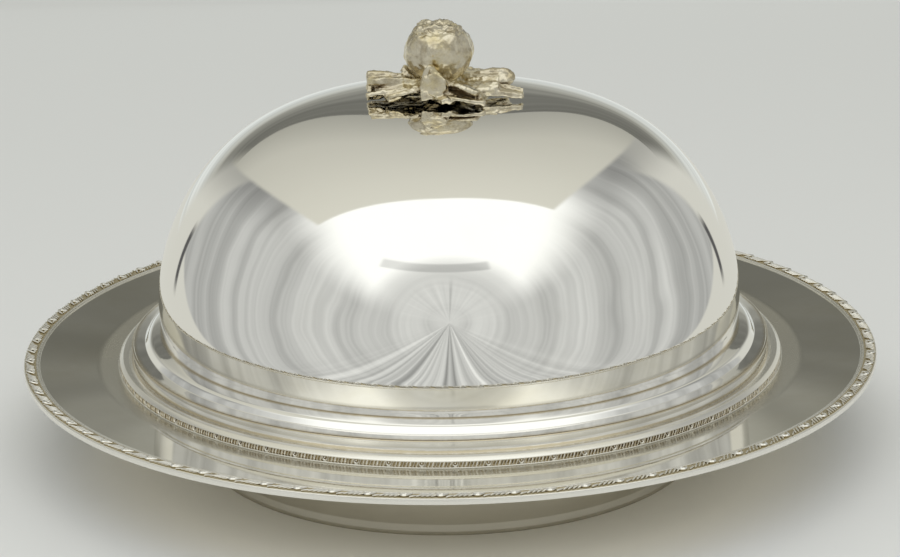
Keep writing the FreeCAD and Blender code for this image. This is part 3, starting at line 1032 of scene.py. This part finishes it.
def tent_sky():
    """The world: a cloth light tent, gathered round the lens, with a warm board over and behind the dish.

    All angles are in degrees.
    """
    tent_white = (1.97, 2.0, 1.93)
    sweep_colour = (0.66, 0.66, 0.60)
    opening_colour = (0.10, 0.10, 0.10)
    gap_colour = (0.14, 0.14, 0.135)
    board_white = (2.15, 2.13, 1.87)
    black = (0.0, 0.0, 0.0)
    board_middle = 94.0
    lamp_middle = 92.0

    world = bpy.data.worlds.new("light tent")
    bpy.context.scene.world = world
    nodes = Nodes(world)
    direction = nodes.add("ShaderNodeTexCoord", output="Generated")
    x, y, z = nodes.split(direction)
    ahead = y * -math.cos(LENS_TILT) + z * math.sin(LENS_TILT)
    above = y * math.sin(LENS_TILT) + z * math.cos(LENS_TILT)
    spread = ahead.math("ARCCOSINE") * (1 / DEGREE)
    around = above.math("ARCTAN2", x) * (1 / DEGREE)
    rise = z.math("ARCSINE") * (1 / DEGREE)
    sideways = x.math("ARCTAN2", y * -1.0) * (1 / DEGREE)
    turned = abs(sideways)
    from_top = abs(around - lamp_middle)
    cloth = tent_cloth(nodes, spread, around, nodes.noise(direction, scale=1.6))

    # The lamp shines through the cloth above the lens, apart from a slit
    lamp = nodes.step(from_top + spread * 0.5, 92.0, 66.0) * nodes.step(spread, 12.0, 34.0)
    glow = nodes.curve(spread, ((0, 0.62), (24, 0.80), (28, 0.86), (34, 1.15), (180, 1.15)))
    slit = nodes.patch(sideways, -7.0, edge=29.0, full=26.0)
    slit = slit * nodes.step(rise, 43.0, 44.0) * nodes.step(rise, 48.5, 47.0)
    brightness = blend(lamp, cloth, glow - slit * 0.32)
    tent = nodes.mix(brightness * 0.5, black, tent_white)

    # Behind, the paper sweeps up under the cloth's hem, with a dark opening at each side
    hem = nodes.step(rise + (127.0 - turned) * 0.55 + 3.0, 1.0, -1.0) * nodes.step(turned, 60.0, 80.0)
    sweep = hem.math("MAXIMUM", nodes.step(turned, 132.0, 136.0) * nodes.step(rise, 40.0, 25.0))
    opening = nodes.patch(turned, 135.0, edge=2.0, full=0.8) * nodes.patch(rise, -1.0, edge=9.0, full=4.0)
    tent = nodes.mix(sweep, tent, sweep_colour)
    tent = nodes.mix(opening, tent, opening_colour)

    # The warm board, shaded towards its far edge, with a dark gap round it
    across = (around - board_middle) / 40.0
    left = nodes.step(around, 134.0, 132.0)
    right = nodes.step(around, 56.0, 58.0)
    near = nodes.step(spread - from_top * 0.04, 68.5, 70.0)
    far = nodes.step(spread + across ** 4.0 * 5.0, 141.5, 139.5)
    board = left * right * near * far
    gap_side = nodes.patch(around, board_middle, edge=56.0, full=38.0) * nodes.step(spread, 74.0, 92.0)
    gap_far = nodes.step(spread, 176.0, 142.0)
    tone = nodes.curve(spread, ((70, 0.66), (85, 0.62), (102, 0.565), (120, 0.51), (131, 0.42), (140, 0.35)))
    sky = nodes.mix(gap_side * gap_far * 0.5, tent, gap_colour)
    sky = nodes.mix(board, sky, nodes.mix(tone * 0.5, black, board_white))
    surface = nodes.add("ShaderNodeBackground", None, {"Color": sky})
    nodes.add("ShaderNodeOutputWorld", None, {"Surface": surface})


def paper_floor():
    """A disc of paper under the dish, painted lighter and warmer round the dish as painted light in its
    shadow, and a wide ring round it that the silver doesn't mirror.
    """
    # The paper round the dish is painted lighter and warmer: painted light that lifts the dish's shadow on it
    painted_light_under_dish = (0.97, 0.94, 0.86)
    disc_radius = 0.24
    ring_growth = 24
    made, nodes, place = material("pale paper")
    x, y = nodes.split(place)[:2]
    painted_light_zone = nodes.step(from_axis(x, y), 145 * MM, 110 * MM)
    tone = nodes.noise(place, scale=3.0) * 0.3 + 0.85
    paper = nodes.mix(painted_light_zone * tone, tuple(colours().floor), painted_light_under_dish)
    surface = nodes.add("ShaderNodeBsdfPrincipled", None, {"Base Color": paper, "Roughness": 0.8})
    nodes.add("ShaderNodeOutputMaterial", None, {"Surface": surface})

    deselect()
    bpy.ops.mesh.primitive_circle_add(vertices=96, radius=disc_radius, fill_type="NGON")
    near = bpy.context.object
    near.name = "paper_near"
    bpy.ops.mesh.primitive_circle_add(vertices=96, radius=disc_radius, fill_type="NOTHING")
    far = bpy.context.object
    far.name = "paper_far"
    bpy.ops.object.mode_set(mode="EDIT")
    bpy.ops.mesh.select_all(action="SELECT")
    bpy.ops.mesh.extrude_region_move()
    bpy.ops.transform.resize(value=(ring_growth, ring_growth, 1))
    bpy.ops.mesh.select_all(action="SELECT")
    bpy.ops.mesh.normals_make_consistent(inside=False)
    bpy.ops.object.mode_set(mode="OBJECT")
    far.visible_glossy = False
    for paper_piece in (near, far):
        paper_piece.data.materials.append(made)
        if paper_piece.data.polygons[0].normal.z < 0:
            paper_piece.data.flip_normals()
    return near, far


def shaded_backdrop():
    """A wide strip behind the dish that only the silver mirrors: darker upwards, clear towards its ends."""
    low_tint = (0.98, 1.02, 0.98)
    high_tint = (1.03, 1.03, 0.91)
    width = 1.3
    height = 0.43
    middle = (0, 0.8, 0.215)
    made, nodes, place = material("shaded backdrop")
    x, y, z = nodes.split(place)
    clouds = nodes.stripes(z + x * 0.1, scale=26.0) * 0.8 + 0.6
    tone = nodes.curve(z, (
        (0.0, 0.75), (0.12, 0.68), (0.20, 0.49), (0.26, 0.25), (0.32, 0.17), (0.44, 0.155)))
    tint = nodes.mix(nodes.step(z, 0.12, 0.26), low_tint, high_tint)
    shaded = nodes.add("ShaderNodeVectorMath", {"operation": "SCALE"}, {
        "Vector": tint, "Scale": tone * clouds})
    glowing = nodes.add("ShaderNodeEmission", None, {"Color": shaded})
    clear = nodes.add("ShaderNodeBsdfTransparent")
    inside = nodes.step(abs(x), 0.62, 0.42)
    surface = nodes.add("ShaderNodeMixShader", None, {0: inside, 1: clear, 2: glowing})
    nodes.add("ShaderNodeOutputMaterial", None, {"Surface": surface})

    deselect()
    bpy.ops.mesh.primitive_plane_add(size=1.0, location=middle, rotation=(math.pi / 2, 0, 0))
    strip = bpy.context.object
    strip.scale = (width, height, 1)
    bpy.ops.object.transform_apply(location=True, rotation=True, scale=True)
    strip.name = "shaded_backdrop"
    strip.data.materials.append(made)
    strip.visible_camera = False
    strip.visible_diffuse = False
    strip.visible_shadow = False
    return strip


def front_lamp():
    """A wide lamp above the lens, which the silver doesn't mirror."""
    aim = Vector((0, 0.85, -1.3))
    lamp = bpy.data.lights.new("front lamp", "AREA")
    lamp.size = 1.2
    lamp.energy = 13.5
    holder = bpy.data.objects.new("front lamp", lamp)
    bpy.context.scene.collection.objects.link(holder)
    holder.location = (0, -1.1, 1.3)
    holder.rotation_euler = aim.to_track_quat("-Z", "Y").to_euler()
    holder.visible_glossy = False


def photo_camera():
    """The photo's camera, aimed at the middle of the cover's seat."""
    distance = 0.9
    roll = -1.01 * DEGREE
    picture_width = 900
    focal_pixels = 2524
    shift_pixels = 67.9
    sensor = 36
    camera = bpy.data.cameras.new("camera")
    camera.lens = focal_pixels / picture_width * sensor
    camera.sensor_width = sensor
    camera.shift_y = shift_pixels / picture_width
    camera.clip_end = 20
    target = Vector((0, 0, seat_height))
    holder = bpy.data.objects.new("camera", camera)
    bpy.context.scene.collection.objects.link(holder)
    holder.location = target + distance * Vector((0, -math.cos(LENS_TILT), math.sin(LENS_TILT)))
    look = (target - holder.location).to_track_quat("-Z", "Y")
    holder.rotation_euler = (look @ Quaternion((0, 0, 1), roll)).to_euler()
    bpy.context.scene.camera = holder


class DISH_OT_stage(bpy.types.Operator):
    """Lay the paper floor, hang the shaded strip behind, light the tent and place the camera"""

    bl_idname = "dish.stage"
    bl_label = "Studio"

    def execute(self, context):
        near, far = paper_floor()
        strip = shaded_backdrop()
        front_lamp()
        tent_sky()
        photo_camera()
        context.scene.view_settings.view_transform = "Standard"
        return {"FINISHED"}


class DISH_PT_panel(bpy.types.Panel):
    """Lists the steps in the sidebar"""

    bl_idname = "DISH_PT_panel"
    bl_label = "Serving dish"
    bl_space_type = "VIEW_3D"
    bl_region_type = "UI"
    bl_category = "Serving dish"

    def draw(self, context):
        for group in (sizes(), colours()):
            for name in group.bl_rna.properties.keys():
                if name not in ("rna_type", "name"):
                    self.layout.prop(group, name)
        for operator in OPERATORS:
            self.layout.operator(operator.bl_idname)


OPERATORS = (
    DISH_OT_body, DISH_OT_foot, DISH_OT_cover, DISH_OT_rim_border, DISH_OT_cover_border,
    DISH_OT_leaves, DISH_OT_fruit, DISH_OT_fastening, DISH_OT_stage)
CLASSES = (DishSizes, DishColours) + OPERATORS + (DISH_PT_panel,)


def register():
    for made in CLASSES:
        bpy.utils.register_class(made)
    bpy.types.Scene.dish_sizes = bpy.props.PointerProperty(type=DishSizes)
    bpy.types.Scene.dish_colours = bpy.props.PointerProperty(type=DishColours)


def unregister():
    del bpy.types.Scene.dish_colours
    del bpy.types.Scene.dish_sizes
    for made in reversed(CLASSES):
        bpy.utils.unregister_class(made)


def main():
    register()
    deselect()
    bpy.ops.dish.body()
    bpy.ops.dish.foot()
    bpy.ops.dish.cover()
    bpy.ops.dish.rim_border()
    bpy.ops.dish.cover_border()
    bpy.ops.dish.leaves()
    bpy.ops.dish.fruit()
    bpy.ops.dish.fastening()
    bpy.ops.dish.stage()


if __name__ == "__main__":
    main()
